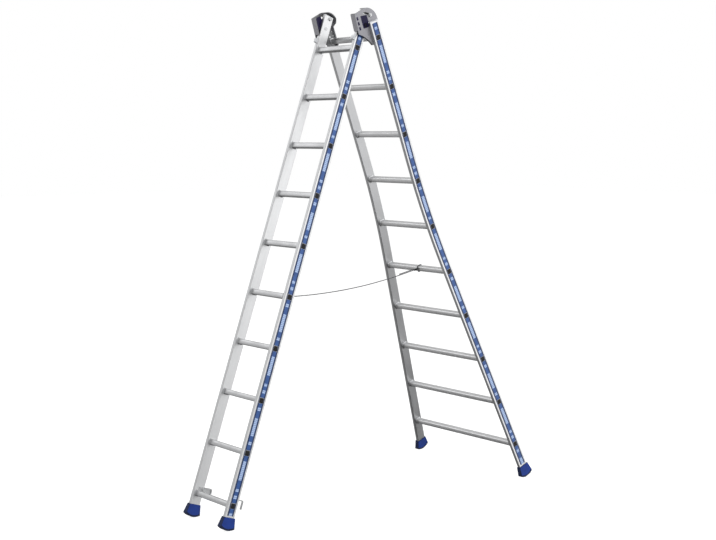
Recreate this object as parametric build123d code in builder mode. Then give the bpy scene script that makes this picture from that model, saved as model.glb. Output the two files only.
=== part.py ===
from build123d import *
import os
from math import asin, atan2, cos, degrees, pi, radians, sin, tan

os.makedirs("parts", exist_ok=True)

# How the ladder stands open and how far it folds
opening_angle = 40.54
fold_angle = 39.0
floor_land = 0.4

# Rungs: square grooved tubes, crimped into the stiles
rung_count = 10
rung_pitch = 250.0
rung_size = 26.0
rung_wall = 1.8
rung_corner = 4.0
rung_clearance = 0.1
groove_count = 3
groove_pitch = 6.5
groove_width = 1.8
groove_depth = 0.5
bead_overhang = 2.5
bead_thickness = 2.5
plug_depth = 12.0
plug_clearance = 0.1

# Stiles: hollow box sections with a seat for the label on the outer face
front_width = 302.0
stile_depth = 55.0
stile_thickness = 18.0
stile_wall = 2.2
stile_corner = 3.0
cap_head = 3.5
cap_tenon = 4.0
cap_clearance = 0.15

# The rear stiles bend outward below this distance under the top rung
flare_angle = 8.42
bend_below_rung = 908.0
bend_radius = 3800.0

# Labels on the outer faces
label_width = 35.0
label_thickness = 0.5
label_seat = 0.6
label_gap = 0.5
label_end_gap = 8.0

# Where the hinge sits against the top rungs, and how the folded sections nest
pivot_above_front_rung = 115.0
pivot_above_rear_rung = 77.0
nest_gap = 3.0
front_stile_rise = 64.5
rear_stile_rise = 3.0

# Feet: fan-shaped boots with a round sole
front_sole_below_rung = 114.5
rear_sole_below_rung = 188.5
sole_radius = 73.0
foot_height = 60.0
foot_sole_thickness = 22.0
foot_top_depth = 63.0
foot_bottom_depth = 88.0
foot_top_width = 25.0
foot_bottom_width = 31.0
foot_corner = 3.0
foot_clearance = 0.15
tread_count = 7
tread_step = 8.0
tread_width = 3.0
tread_depth = 2.0

# Hinge plates, one inside each rear stile
plate_thickness = 4.0
lining_thickness = 10.5
front_lining_reach = 34.0
front_lining_bottom = 6.0
front_lining_inset = 2.0
guide_gap = 0.5
lobe_depth = 18.5
lobe_rise = 10.5
lobe_radius = 66.5
lobe_front = 6.0
lobe_turn_angle = 50.0
lobe_rim_width = 33.0
lobe_rim_front = 19.0
lobe_rim_low = 30.0
rear_rim_width = 16.0
rear_rim_top = -2.0
gusset_rim_width = 13.0
plate_front_top = 68.5
plate_foot_below_rung = 28.0
plate_rear_inset = 6.0
plate_toe_inset = -4.0
plate_shoulder_drop = 10.0
gusset_front_drop = 30.0
gusset_radius = 170.0
flange_top_reach = 47.0
flange_foot_reach = 53.3
flange_width = 32.0
flange_bottom = -14.0
window_corners = ((-17.5, 48.5), (23.5, 42.5), (25.5, -9.0), (19.0, -15.0), (-17.5, -14.0))
window_rounding = 3.0
tab_slot_count = 3
tab_slot_width = 11.0
tab_slot_height = 16.0
tab_slot_pitch = 24.5
tab_slot_middle = 17.7
tab_slot_depth = -38.5
pad_clearance = 0.2
lining_side_reach = 23.5
lining_bottom = -18.0
lining_top = 43.0
lining_crest_reach = 4.0
lining_crest = 64.0

# Pivot pins, set over inside the front stiles, and their bushes
pin_radius = 6.0
running_clearance = 0.05
pin_hole_clearance = 0.2
pin_head_radius = 9.5
pin_head = 3.0
pin_head_rounding = 1.2
pin_set_radius = 8.0
pin_set = 1.5
pin_set_gap = 0.2
bush_radius = 9.0

# Stop studs in the arc slots
stud_radius = 5.0
stud_depth = 9.0
stud_rise = 55.0
stud_slot_clearance = 0.3
stud_head_radius = 9.5
stud_head = 6.0
stud_head_rounding = 2.4
stud_socket_radius = 4.2
stud_socket_depth = 3.0
stud_washer_radius = 9.0
stud_washer = 1.6
stud_nut_radius = 8.5
stud_nut = 6.0
stud_end = 2.5
stud_outer_gap = 0.3

# Rivets
rivet_radius = 2.5
rivet_clearance = 0.1
rivet_head_radius = 5.0
rivet_head = 1.6
rivet_tail = 2.0
plate_rivet_spread = 12.0
plate_rivet_drops = (30.0, 52.0)

# Rung hooks at the foot of the front section
hook_above_rung = 32.0
hook_thickness = 5.0
hook_width = 10.0
hook_root = 24.0
hook_reach = 69.0
hook_drop = 44.0
hook_bend = 7.0
hook_tab_height = 15.0
hook_tab_front = -4.0
hook_tab_rear = 27.0
hook_rivet_spread = 12.0
hook_web_front = 17.5
hook_web_height = 29.0
webbed_hook = "left"

# Stop cleats on the front edges
cleat_above_rung = 40.0
cleat_height = 22.0
cleat_reach = 14.0
cleat_width = 14.0
cleat_corner = 6.0

# Spreader rope, tied round one rung of each section
rope_rung = 6
rope_diameter = 5.0
rope_front_x = 121.0
rope_rear_x = 15.0
rope_gap = 0.4
ferrule_radius = 4.5
ferrule_length = 24.0
ferrule_gap = 0.3
ferrule_stand_off = 2.4
rope_drops = (7.5, 13.5, 18.0, 21.5, 23.5, 24.0, 23.5, 21.0, 17.5, 13.0, 7.0)
rope_bend_share = 0.45

# Sizes worked out from the ones above
opening = radians(opening_angle)
flare = radians(flare_angle)
rung_bore = rung_size - 2 * rung_wall
rung_hole = rung_size + 2 * rung_clearance
bead_size = rung_size + 2 * bead_overhang
half_wall = stile_thickness / 2
front_half = front_width / 2
front_inner = front_half - stile_thickness
front_centre = front_half - half_wall
lining_inner = front_half + guide_gap
plate_inner = lining_inner + lining_thickness
plate_outer = plate_inner + plate_thickness
rear_centre_x = plate_outer + half_wall
section_offset = stile_depth / 2 + rung_size / 2 + nest_gap
rope_radius = rope_diameter / 2
sides = (("left", -1), ("right", 1))

# Heights along each section, counted upward from the pivot
last_rung_drop = (rung_count - 1) * rung_pitch
front_rungs = [-pivot_above_front_rung - k * rung_pitch for k in range(rung_count)]
rear_rungs = [-pivot_above_rear_rung - k * rung_pitch for k in range(rung_count)]
front_sole = sole_radius - pivot_above_front_rung - last_rung_drop - front_sole_below_rung
rear_sole = sole_radius - pivot_above_rear_rung - last_rung_drop - rear_sole_below_rung
foot_rise = foot_height - sole_radius
pocket_depth = foot_height - foot_sole_thickness
front_foot_top = front_sole + foot_rise
rear_foot_top = rear_sole + foot_rise
front_stile_bottom = front_foot_top - pocket_depth
rear_stile_bottom = rear_foot_top - pocket_depth * cos(flare)

# How each section leans so that all four soles stand level, and where that puts the pivot
front_lean = atan2(
    section_offset * sin(opening) + rear_sole * cos(opening) - front_sole,
    section_offset * cos(opening) - rear_sole * sin(opening),
)
rear_lean = opening - front_lean
pivot_height = sole_radius - floor_land - front_sole * cos(front_lean)
front_stand = front_sole * sin(front_lean)
rear_stand = section_offset * cos(rear_lean) - rear_sole * sin(rear_lean)
pivot_y = -(front_stand + rear_stand) / 2

# Frames of the two sections: x along the rungs, y rearward, z up the stile, origin on the pivot
pivot = Vector(0, pivot_y, pivot_height)
front_frame = Plane(origin=pivot, x_dir=(1, 0, 0), z_dir=(0, sin(front_lean), cos(front_lean)))
rear_frame = Plane(origin=pivot, x_dir=(1, 0, 0), z_dir=(0, -sin(rear_lean), cos(rear_lean)))
rear_elevation = Plane(
    origin=rear_frame.from_local_coords((0, section_offset, 0)),
    x_dir=rear_frame.x_dir,
    z_dir=-rear_frame.y_dir,
)
print("pivot", pivot, "leans", degrees(front_lean), degrees(rear_lean))

# The bend of the rear stiles
bend_z = -pivot_above_rear_rung - bend_below_rung
bend_tangent = bend_radius * tan(flare / 2)
bend_top = bend_z + bend_tangent
bend_bottom = bend_z - bend_tangent * cos(flare)


def front_line(z):
    """Distance of the front stile's centre line from the middle, and its slope."""
    return front_centre, 0.0


def rear_line(z):
    """Distance of the rear stile's centre line from the middle at height z, and its slope."""
    if z >= bend_top:
        return rear_centre_x, 0.0
    if z <= bend_bottom:
        return rear_centre_x + (bend_z - z) * tan(flare), flare
    slope = asin((bend_top - z) / bend_radius)
    return rear_centre_x + bend_radius * (1 - cos(slope)), slope


def side_plane(frame, x):
    """Plane across a section at x: its x runs rearward and its y runs up the stile."""
    return Plane(
        origin=frame.from_local_coords((x, 0, 0)), x_dir=frame.y_dir, z_dir=frame.x_dir
    )


def wall_plane(frame, depth, line, side, z, outward):
    """Plane along a stile's wall, outward of its centre line, with its normal facing out."""
    centre, slope = line(z)
    x = side * (centre + outward / cos(slope))
    return Plane(
        origin=frame.from_local_coords((x, depth, z)),
        x_dir=frame.y_dir,
        z_dir=frame.x_dir * (side * cos(slope)) + frame.z_dir * sin(slope),
    )


def rear_path(side, top, bottom):
    """Centre line of a rear stile, bent outward, from top to bottom."""
    with BuildLine(rear_elevation) as path:
        FilletPolyline(
            (side * rear_centre_x, top),
            (side * rear_centre_x, bend_z),
            (side * rear_line(bottom)[0], bottom),
            radius=bend_radius,
        )
    return path.wire()


def stile_section(side):
    """Hollow box with a shallow label seat on its outer face."""
    RectangleRounded(stile_thickness, stile_depth, stile_corner)
    Rectangle(
        stile_thickness - 2 * stile_wall, stile_depth - 2 * stile_wall, mode=Mode.SUBTRACT
    )
    with Locations((side * (half_wall - label_seat / 2), 0)):
        Rectangle(label_seat, label_width + 2 * label_gap, mode=Mode.SUBTRACT)


def rung_section():
    """Square tube with shallow grip grooves on its four faces."""
    RectangleRounded(rung_size, rung_size, rung_corner)
    RectangleRounded(rung_bore, rung_bore, rung_corner - rung_wall, mode=Mode.SUBTRACT)
    with GridLocations(groove_pitch, rung_size, groove_count, 2):
        Rectangle(groove_width, 2 * groove_depth, mode=Mode.SUBTRACT)
    with GridLocations(rung_size, groove_pitch, 2, groove_count):
        Rectangle(2 * groove_depth, groove_width, mode=Mode.SUBTRACT)


def make_rung(frame, depth, line, z, seat):
    """One rung, cut flush with the outer faces, with a crimped bead inside each stile."""
    centre, slope = line(z)
    with BuildPart() as rung:
        with BuildSketch(side_plane(frame, 0)):
            with Locations((depth, z)):
                rung_section()
        extrude(amount=centre + stile_thickness, both=True)
        for _, side in sides:
            split(
                bisect_by=wall_plane(frame, depth, line, side, z, half_wall),
                keep=Keep.BOTTOM,
            )
            with BuildSketch(wall_plane(frame, depth, line, side, z, -half_wall - seat)):
                Rectangle(bead_size, bead_size / cos(slope))
                Rectangle(rung_size - rung_wall, rung_size - rung_wall, mode=Mode.SUBTRACT)
            extrude(amount=-bead_thickness)
    return rung.part


def make_plugs(frame, depth, line, heights):
    """Plastic plugs in both ends of every rung of a section, flush with the stiles."""
    plugs = []
    plug_size = rung_bore - 2 * plug_clearance
    for z in heights:
        for _, side in sides:
            face = wall_plane(frame, depth, line, side, z, half_wall)
            with BuildPart() as plug:
                with BuildSketch(side_plane(frame, 0)):
                    with Locations((depth, z)):
                        RectangleRounded(plug_size, plug_size, rung_corner - rung_wall)
                extrude(amount=side * (line(z)[0] + stile_thickness))
                split(bisect_by=face, keep=Keep.BOTTOM)
                split(bisect_by=face.offset(-plug_depth), keep=Keep.TOP)
            plugs.append(plug.part)
    return plugs


def make_foot(frame, depth, line, side, top, sole, contact):
    """Rubber boot on a stile's end, with a round grooved sole that lies level on the floor."""
    centre, slope = line(top)
    mouth = Plane(
        origin=frame.from_local_coords((side * centre, depth, top)),
        x_dir=frame.x_dir * cos(slope) + frame.z_dir * (side * sin(slope)),
        z_dir=frame.z_dir * cos(slope) - frame.x_dir * (side * sin(slope)),
    )
    with BuildPart() as foot:
        with BuildSketch(mouth):
            RectangleRounded(foot_top_width, foot_top_depth, foot_corner)
        with BuildSketch(mouth.offset(-foot_height)):
            RectangleRounded(foot_bottom_width, foot_bottom_depth, foot_corner)
        loft()
        with BuildSketch(side_plane(frame, 0)):
            with Locations((depth, sole)):
                Circle(sole_radius)
        extrude(amount=centre + foot_bottom_width, both=True, mode=Mode.INTERSECT)
        with BuildSketch(side_plane(frame, 0)):
            with Locations((depth, sole)):
                first = contact + tread_step / 2
                if contact > -90:
                    first = contact - tread_step / 2 - (tread_count - 1) * tread_step
                span = (tread_count - 1) * tread_step
                with PolarLocations(sole_radius, tread_count, first, span, endpoint=True):
                    Rectangle(2 * tread_depth, tread_width)
        extrude(amount=centre + foot_bottom_width, both=True, mode=Mode.SUBTRACT)
        with BuildSketch(mouth):
            Rectangle(stile_thickness + 2 * foot_clearance, stile_depth + 2 * foot_clearance)
        extrude(amount=-pocket_depth, mode=Mode.SUBTRACT)
        split(bisect_by=Plane.XY, keep=Keep.TOP)
    return foot.part


def make_cap(frame, x, depth, top):
    """Plastic plug in the open top of a stile."""
    with BuildPart() as cap:
        with BuildSketch(frame.offset(top)):
            with Locations((x, depth)):
                RectangleRounded(stile_thickness, stile_depth, stile_corner)
        extrude(amount=cap_head)
        fillet(cap.faces().sort_by(Axis(pivot, frame.z_dir))[-1].edges(), cap_head / 2)
        with BuildSketch(frame.offset(top)):
            with Locations((x, depth)):
                Rectangle(
                    stile_thickness - 2 * stile_wall - 2 * cap_clearance,
                    stile_depth - 2 * stile_wall - 2 * cap_clearance,
                )
        extrude(amount=-cap_tenon)
    return cap.part


def make_rivet(frame, x, depth, z, side, grip):
    """Blind rivet from the inner side of a stile: domed head, shank and set tail."""
    with BuildPart() as rivet:
        with BuildSketch(side_plane(frame, x)):
            with Locations((depth, z)):
                Circle(rivet_head_radius)
        extrude(amount=-side * rivet_head)
        inner = rivet.faces().sort_by(Axis.X)[0 if side > 0 else -1]
        fillet(inner.edges(), rivet_head * 0.6)
        with BuildSketch(side_plane(frame, x)):
            with Locations((depth, z)):
                Circle(rivet_radius)
        extrude(amount=side * (grip + rivet_tail))
    return rivet.part


# Front stiles, with holes for the rungs, the pivot bush, the stop stud and the hook rivets
hook_top = front_rungs[-1] + hook_above_rung
hook_rivet_z = hook_top - hook_tab_height / 2
hook_rivet_middle = (hook_tab_front + hook_tab_rear) / 2
hook_rivet_depths = [hook_rivet_middle + s * hook_rivet_spread / 2 for s in (-1, 1)]
for name, side in sides:
    with BuildPart() as front_stile:
        with BuildSketch(front_frame.offset(front_stile_bottom)):
            with Locations((side * front_centre, 0)):
                stile_section(side)
        extrude(amount=front_stile_rise - front_stile_bottom)
        with BuildSketch(side_plane(front_frame, side * front_centre)):
            with Locations(*[(0, z) for z in front_rungs]):
                RectangleRounded(rung_hole, rung_hole, rung_corner)
            Circle(bush_radius)
            with Locations((stud_depth, stud_rise)):
                Circle(stud_radius + running_clearance)
        extrude(amount=stile_thickness, both=True, mode=Mode.SUBTRACT)
        with BuildSketch(side_plane(front_frame, side * front_inner)):
            with Locations(*[(d, hook_rivet_z) for d in hook_rivet_depths]):
                Circle(rivet_radius + rivet_clearance)
        extrude(amount=stile_wall, both=True, mode=Mode.SUBTRACT)
    front_stile.part.label = f"front_stile_{name}"
    export_step(front_stile.part, f"parts/front_stile_{name}.step")

# Rear stiles, bent outward, with holes for the rungs and the plate rivets
plate_rivets = [
    (section_offset + s * plate_rivet_spread, -drop)
    for drop in plate_rivet_drops
    for s in (-1, 1)
]
for name, side in sides:
    with BuildPart() as rear_stile:
        with BuildSketch(rear_frame.offset(rear_stile_rise)):
            with Locations((side * rear_centre_x, section_offset)):
                stile_section(side)
        sweep(path=rear_path(side, rear_stile_rise, rear_stile_bottom))
        for z in rear_rungs:
            with BuildSketch(side_plane(rear_frame, side * rear_line(z)[0])):
                with Locations((section_offset, z)):
                    RectangleRounded(rung_hole, rung_hole, rung_corner)
            extrude(amount=stile_thickness, both=True, mode=Mode.SUBTRACT)
        with BuildSketch(side_plane(rear_frame, side * plate_outer)):
            with Locations(*plate_rivets):
                Circle(rivet_radius + rivet_clearance)
        extrude(amount=stile_wall, both=True, mode=Mode.SUBTRACT)
    rear_stile.part.label = f"rear_stile_{name}"
    export_step(rear_stile.part, f"parts/rear_stile_{name}.step")

# Rungs of both sections; the top rear rung also passes through the hinge plates
for k in range(rung_count):
    front_rung = make_rung(front_frame, 0, front_line, front_rungs[k], 0)
    front_rung.label = f"front_rung_{k + 1}"
    export_step(front_rung, f"parts/front_rung_{k + 1}.step")
    seat = plate_thickness if k == 0 else 0
    rear_rung = make_rung(rear_frame, section_offset, rear_line, rear_rungs[k], seat)
    rear_rung.label = f"rear_rung_{k + 1}"
    export_step(rear_rung, f"parts/rear_rung_{k + 1}.step")

# Plugs in the rung ends
front_plug_list = make_plugs(front_frame, 0, front_line, front_rungs)
with BuildPart() as front_plugs:
    add(front_plug_list)
front_plugs.part.label = "front_rung_plugs"
export_step(front_plugs.part, "parts/front_rung_plugs.step")
rear_plug_list = make_plugs(rear_frame, section_offset, rear_line, rear_rungs)
with BuildPart() as rear_plugs:
    add(rear_plug_list)
rear_plugs.part.label = "rear_rung_plugs"
export_step(rear_plugs.part, "parts/rear_rung_plugs.step")

# Feet; the sole's contact angle is where the floor touches it
front_contact = degrees(front_lean) - 90
rear_contact = -degrees(rear_lean) - 90
for name, side in sides:
    front_foot = make_foot(
        front_frame, 0, front_line, side, front_foot_top, front_sole, front_contact
    )
    front_foot.label = f"front_foot_{name}"
    export_step(front_foot, f"parts/front_foot_{name}.step")
    rear_foot = make_foot(
        rear_frame, section_offset, rear_line, side, rear_foot_top, rear_sole, rear_contact
    )
    rear_foot.label = f"rear_foot_{name}"
    export_step(rear_foot, f"parts/rear_foot_{name}.step")

# Caps in the stile tops
front_cap_list = [make_cap(front_frame, s * front_centre, 0, front_stile_rise) for _, s in sides]
with BuildPart() as front_caps:
    add(front_cap_list)
front_caps.part.label = "front_stile_caps"
export_step(front_caps.part, "parts/front_stile_caps.step")
rear_cap_list = [
    make_cap(rear_frame, s * rear_centre_x, section_offset, rear_stile_rise) for _, s in sides
]
with BuildPart() as rear_caps:
    add(rear_cap_list)
rear_caps.part.label = "rear_stile_caps"
export_step(rear_caps.part, "parts/rear_stile_caps.step")

# Label strips, let into the outer faces between the rung ends
label_offset = half_wall - label_seat / 2
front_label_top = stud_rise - stud_washer_radius - label_end_gap
window_size = rung_size + 2 * label_gap
for name, side in sides:
    with BuildPart() as front_label:
        with BuildSketch(front_frame.offset(front_foot_top + label_end_gap)):
            with Locations((side * (front_centre + label_offset), 0)):
                Rectangle(label_thickness, label_width)
        extrude(amount=front_label_top - front_foot_top - label_end_gap)
        with BuildSketch(side_plane(front_frame, side * front_half)):
            with Locations(*[(0, z) for z in front_rungs]):
                Rectangle(window_size, window_size)
            Circle(bush_radius + label_gap)
        extrude(amount=stile_wall, both=True, mode=Mode.SUBTRACT)
    front_label.part.label = f"front_label_{name}"
    export_step(front_label.part, f"parts/front_label_{name}.step")
    with BuildPart() as rear_label:
        with BuildSketch(rear_frame.offset(rear_stile_rise - label_end_gap)):
            with Locations((side * (rear_centre_x + label_offset), section_offset)):
                Rectangle(label_thickness, label_width)
        sweep(
            path=rear_path(
                side, rear_stile_rise - label_end_gap, rear_foot_top + label_end_gap
            )
        )
        for z in rear_rungs:
            with BuildSketch(side_plane(rear_frame, side * (rear_line(z)[0] + half_wall))):
                with Locations((section_offset, z)):
                    Rectangle(window_size, window_size)
            extrude(amount=half_wall, both=True, mode=Mode.SUBTRACT)
    rear_label.part.label = f"rear_label_{name}"
    export_step(rear_label.part, f"parts/rear_label_{name}.step")

# Arc slot for the stop stud, swung about the pivot from the open to the folded pose
stud_arm = Vector(stud_depth, stud_rise)
stud_open = degrees(atan2(stud_rise, stud_depth)) - opening_angle
slot_end = degrees(stud_slot_clearance / stud_arm.length)
slot_width = 2 * (stud_radius + stud_slot_clearance)
with BuildLine() as slot_line:
    CenterArc((0, 0), stud_arm.length, stud_open - slot_end, fold_angle + 2 * slot_end)

# Outline of a hinge plate, in depth and height from the pivot; its front edge leans forward
plate_rear = section_offset + stile_depth / 2 - plate_rear_inset
plate_toe = section_offset - stile_depth / 2 + plate_toe_inset
plate_foot = rear_rungs[0] - plate_foot_below_rung
lobe_front_rise = lobe_rise + (lobe_radius**2 - (lobe_front - lobe_depth) ** 2) ** 0.5
lobe_rear = lobe_depth + (lobe_radius**2 - (rear_stile_rise - lobe_rise) ** 2) ** 0.5
lobe_turn = radians(lobe_turn_angle)
lobe_top = (lobe_depth + lobe_radius * cos(lobe_turn), lobe_rise + lobe_radius * sin(lobe_turn))
plate_top = lobe_rise + lobe_radius
flange_slope = (flange_foot_reach - flange_top_reach) / (plate_front_top - flange_bottom)


def front_edge(z):
    """Depth of the hinge plate's front edge at height z."""
    return -flange_top_reach - (plate_front_top - z) * flange_slope


with BuildSketch() as plate_sketch:
    with BuildLine():
        Polyline(
            (lobe_front, lobe_front_rise),
            (front_edge(plate_front_top), plate_front_top),
            (front_edge(-gusset_front_drop), -gusset_front_drop),
        )
        RadiusArc(
            (front_edge(-gusset_front_drop), -gusset_front_drop),
            (plate_toe, plate_foot),
            gusset_radius,
        )
        Polyline(
            (plate_toe, plate_foot),
            (plate_rear, plate_foot),
            (plate_rear, -plate_shoulder_drop),
            (lobe_rear, rear_stile_rise),
        )
        ThreePointArc((lobe_rear, rear_stile_rise), lobe_top, (lobe_front, lobe_front_rise))
    make_face()
with BuildSketch() as rim_sketch:
    add(plate_sketch.sketch)
    offset(plate_sketch.sketch, amount=-plate_thickness, mode=Mode.SUBTRACT)
with BuildSketch() as window_sketch:
    with BuildLine():
        FilletPolyline(*window_corners, radius=window_rounding, close=True)
    make_face()
with BuildSketch() as pad_sketch:
    offset(window_sketch.sketch, amount=-pad_clearance)

# Hinge plates, with the rims that turn inward along the lobe, the rear edge, the gusset and the front
rim_inner_edge = plate_rear - 2 * plate_thickness
for name, side in sides:
    with BuildPart() as hinge_plate:
        with BuildSketch(side_plane(rear_frame, side * plate_outer)):
            add(rim_sketch.sketch)
            with BuildLine():
                Polyline(
                    (lobe_rim_front, lobe_rim_low),
                    (lobe_rim_front, plate_top),
                    (lobe_rear + plate_thickness, plate_top),
                    (lobe_rear + plate_thickness, plate_foot),
                    (rim_inner_edge, plate_foot),
                    (rim_inner_edge, lobe_rim_low),
                    close=True,
                )
            make_face(mode=Mode.INTERSECT)
        extrude(amount=-side * lobe_rim_width)
        with BuildSketch(rear_elevation):
            with BuildLine():
                Polyline(
                    (side * (plate_outer - lobe_rim_width), lobe_rim_low),
                    (side * (plate_outer - rear_rim_width), rear_rim_top),
                    (side * (plate_outer - rear_rim_width), plate_foot),
                    (side * (plate_outer - lobe_rim_width), plate_foot),
                    close=True,
                )
            make_face()
        extrude(amount=-lobe_rear, mode=Mode.SUBTRACT)
        with BuildSketch(side_plane(rear_frame, side * plate_inner)):
            add(plate_sketch.sketch)
            with Locations((section_offset, rear_rungs[0])):
                RectangleRounded(rung_hole, rung_hole, rung_corner, mode=Mode.SUBTRACT)
            add(window_sketch.sketch, mode=Mode.SUBTRACT)
            with Locations((tab_slot_depth, tab_slot_middle)):
                with GridLocations(0, tab_slot_pitch, 1, tab_slot_count):
                    Rectangle(tab_slot_width, tab_slot_height, mode=Mode.SUBTRACT)
            with Locations(*plate_rivets):
                Circle(rivet_radius + rivet_clearance, mode=Mode.SUBTRACT)
            SlotArc(slot_line.wire(), slot_width, mode=Mode.SUBTRACT)
        extrude(amount=side * plate_thickness)
        with BuildSketch(side_plane(rear_frame, side * plate_outer)):
            add(rim_sketch.sketch)
            with Locations((-flange_foot_reach - plate_thickness, flange_bottom)):
                Rectangle(
                    flange_foot_reach - flange_top_reach + 3 * plate_thickness,
                    plate_top - flange_bottom,
                    align=(Align.MIN, Align.MIN),
                    mode=Mode.INTERSECT,
                )
        extrude(amount=-side * flange_width)
        with BuildSketch(side_plane(rear_frame, side * plate_outer)):
            add(rim_sketch.sketch)
            with Locations((plate_toe, -gusset_front_drop)):
                Rectangle(
                    2 * flange_foot_reach + 2 * plate_toe,
                    -plate_foot - gusset_front_drop,
                    align=(Align.MAX, Align.MAX),
                    mode=Mode.INTERSECT,
                )
        extrude(amount=-side * gusset_rim_width)
    hinge_plate.part.label = f"hinge_plate_{name}"
    export_step(hinge_plate.part, f"parts/hinge_plate_{name}.step")

# Guide blocks: plastic linings that show through the window and the tab slots of each plate
front_lining_width = flange_width - plate_thickness - front_lining_inset
lining_heights = (lining_crest, front_lining_bottom, lining_bottom)
lining_front = {z: front_edge(z) + plate_thickness + pad_clearance for z in lining_heights}
for name, side in sides:
    with BuildPart() as guide_block:
        with BuildSketch(side_plane(rear_frame, side * plate_inner)):
            with BuildLine():
                Polyline(
                    (lining_front[lining_crest], lining_crest),
                    (lining_crest_reach, lining_crest),
                    (lining_crest_reach, lining_top),
                    (lining_side_reach, lining_top),
                    (lining_side_reach, lining_bottom),
                    (lining_front[lining_bottom], lining_bottom),
                    close=True,
                )
            make_face()
        extrude(amount=-side * lining_thickness)
        with BuildSketch(side_plane(rear_frame, side * plate_inner)):
            add(pad_sketch.sketch)
            with Locations((tab_slot_depth, tab_slot_middle)):
                with GridLocations(0, tab_slot_pitch, 1, tab_slot_count):
                    Rectangle(
                        tab_slot_width - 2 * pad_clearance, tab_slot_height - 2 * pad_clearance
                    )
        extrude(amount=side * plate_thickness)
        with BuildSketch(side_plane(rear_frame, side * plate_inner)):
            with BuildLine():
                Polyline(
                    (lining_front[lining_crest], lining_crest),
                    (-front_lining_reach, lining_crest),
                    (-front_lining_reach, front_lining_bottom),
                    (lining_front[front_lining_bottom], front_lining_bottom),
                    close=True,
                )
            make_face()
        extrude(amount=-side * front_lining_width)
        with BuildSketch(side_plane(rear_frame, side * plate_inner)):
            Circle(pin_radius + pin_hole_clearance)
        extrude(amount=plate_thickness + lining_thickness, both=True, mode=Mode.SUBTRACT)
    guide_block.part.label = f"guide_block_{name}"
    export_step(guide_block.part, f"parts/guide_block_{name}.step")

# Pivot pins from outside, through the guide blocks and the front stiles, set over inside
pin_end = front_inner - pin_set_gap - pin_set
for name, side in sides:
    with BuildPart() as pivot_pin:
        with BuildSketch(side_plane(rear_frame, side * plate_outer)):
            Circle(pin_head_radius)
        extrude(amount=side * pin_head)
        pin_outer = pivot_pin.faces().sort_by(Axis.X)[-1 if side > 0 else 0]
        fillet(pin_outer.edges(), pin_head_rounding)
        with BuildSketch(side_plane(rear_frame, side * plate_outer)):
            Circle(pin_radius)
        extrude(amount=-side * (plate_outer - pin_end))
        with BuildSketch(side_plane(rear_frame, side * pin_end)):
            Circle(pin_set_radius)
        extrude(amount=side * pin_set)
    pivot_pin.part.label = f"pivot_pin_{name}"
    export_step(pivot_pin.part, f"parts/pivot_pin_{name}.step")
    with BuildPart() as pivot_bush:
        with BuildSketch(side_plane(front_frame, side * front_inner)):
            Circle(bush_radius)
            Circle(pin_radius + running_clearance, mode=Mode.SUBTRACT)
        extrude(amount=side * stile_thickness)
    pivot_bush.part.label = f"pivot_bush_{name}"
    export_step(pivot_bush.part, f"parts/pivot_bush_{name}.step")

# Stop studs through the front stile tops, running in the arc slots
washer_face = plate_outer + stud_outer_gap
stud_tip = washer_face + stud_washer + stud_nut + stud_end
for name, side in sides:
    with BuildPart() as stop_stud:
        with BuildSketch(side_plane(front_frame, side * front_inner)):
            with Locations((stud_depth, stud_rise)):
                Circle(stud_radius)
        extrude(amount=side * (stud_tip - front_inner))
        with BuildSketch(side_plane(front_frame, side * front_inner)):
            with Locations((stud_depth, stud_rise)):
                Circle(stud_head_radius)
        extrude(amount=-side * stud_head)
        stud_inner = stop_stud.faces().sort_by(Axis.X)[0 if side > 0 else -1]
        fillet(stud_inner.edges(), stud_head_rounding)
        with BuildSketch(side_plane(front_frame, side * (front_inner - stud_head))):
            with Locations((stud_depth, stud_rise)):
                RegularPolygon(stud_socket_radius, 6)
        extrude(amount=side * stud_socket_depth, mode=Mode.SUBTRACT)
    stop_stud.part.label = f"stop_stud_{name}"
    export_step(stop_stud.part, f"parts/stop_stud_{name}.step")

# Washers and nuts outside the hinge plates
with BuildPart() as stop_nuts:
    for _, side in sides:
        with BuildSketch(side_plane(front_frame, side * washer_face)):
            with Locations((stud_depth, stud_rise)):
                Circle(stud_washer_radius)
                Circle(stud_radius + running_clearance, mode=Mode.SUBTRACT)
        extrude(amount=side * stud_washer)
        with BuildSketch(side_plane(front_frame, side * (washer_face + stud_washer))):
            with Locations((stud_depth, stud_rise)):
                RegularPolygon(stud_nut_radius, 6)
                Circle(stud_radius + running_clearance, mode=Mode.SUBTRACT)
        extrude(amount=side * stud_nut)
stop_nuts.part.label = "stop_nuts"
export_step(stop_nuts.part, "parts/stop_nuts.step")

# Rivets that hold the hinge plates to the rear stiles
plate_grip = plate_thickness + stile_wall
plate_rivet_list = [
    make_rivet(rear_frame, side * plate_inner, depth, z, side, plate_grip)
    for _, side in sides
    for depth, z in plate_rivets
]
with BuildPart() as plate_rivet_group:
    add(plate_rivet_list)
plate_rivet_group.part.label = "plate_rivets"
export_step(plate_rivet_group.part, "parts/plate_rivets.step")

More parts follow.
